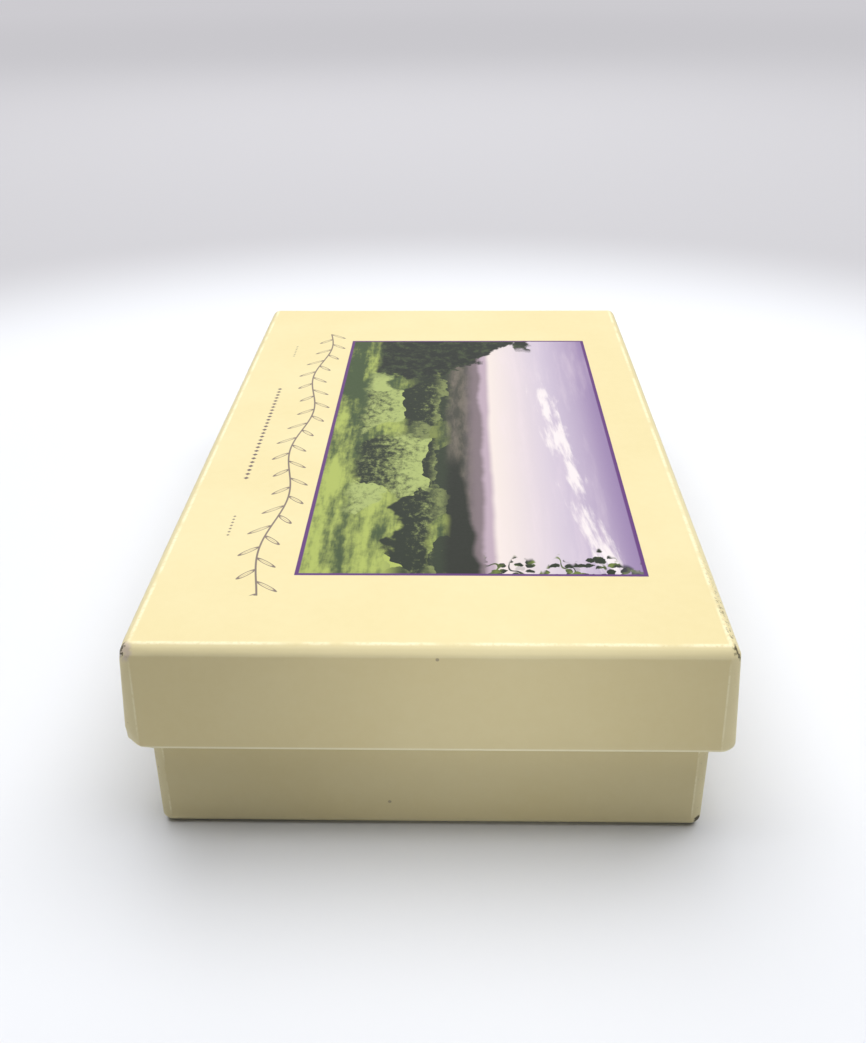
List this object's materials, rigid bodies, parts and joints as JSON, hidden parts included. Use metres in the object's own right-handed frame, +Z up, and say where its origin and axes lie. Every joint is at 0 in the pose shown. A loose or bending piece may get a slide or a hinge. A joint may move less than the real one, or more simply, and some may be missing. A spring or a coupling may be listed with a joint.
{
  "type": "boxed bar soap set",
  "caption": "Rigid paper-wrapped gift box with a lift-off lid over a base tray, holding a row of banded bar soaps in a folded card partition.",
  "frame": {"origin": "middle of the closed box's footprint, on the surface it rests on", "axes": "+X across the box, +Y along its length, away from the viewer at the near end, +Z up"},
  "size_m": [0.102, 0.185, 0.0385],
  "materials": {
    "greyboard": "matt",
    "plain_wrap": "satin laminate",
    "printed_wrap": "satin laminate",
    "lining_paper": "matt",
    "corner_tape": "matt",
    "partition_card": "matt",
    "soap": "waxy",
    "band_paper": "matt"
  },
  "bodies": {
    "base": {"base_board": "greyboard", "base_wrap": "plain_wrap", "base_liner": "lining_paper", "base_tape_front_left": "corner_tape", "base_tape_front_right": "corner_tape", "base_tape_back_left": "corner_tape", "base_tape_back_right": "corner_tape", "partition_card": "partition_card"},
    "lid": {"lid_board": "greyboard", "lid_wrap": "printed_wrap", "lid_liner": "lining_paper", "lid_tape_front_left": "corner_tape", "lid_tape_front_right": "corner_tape", "lid_tape_back_left": "corner_tape", "lid_tape_back_right": "corner_tape"},
    "soap_1": {"soap_bar_1": "soap", "soap_band_1": "band_paper"},
    "soap_2": {"soap_bar_2": "soap", "soap_band_2": "band_paper"},
    "soap_3": {"soap_bar_3": "soap", "soap_band_3": "band_paper"}
  },
  "joints": [
    {"name": "lid_lift", "type": "slide", "parent": "base", "child": "lid", "axis": [0, 0, 1], "range_m": [0, 0.12]},
    {"name": "soap_1_lift", "type": "slide", "parent": "base", "child": "soap_1", "axis": [0, 0, 1], "range_m": [0, 0.045]},
    {"name": "soap_2_lift", "type": "slide", "parent": "base", "child": "soap_2", "axis": [0, 0, 1], "range_m": [0, 0.045]},
    {"name": "soap_3_lift", "type": "slide", "parent": "base", "child": "soap_3", "axis": [0, 0, 1], "range_m": [0, 0.045]}
  ],
  "couplings": [
    {"joint": "soap_1_lift", "follows": "lid_lift", "ratio": 0.375},
    {"joint": "soap_2_lift", "follows": "lid_lift", "ratio": 0.375},
    {"joint": "soap_3_lift", "follows": "lid_lift", "ratio": 0.375}
  ]
}
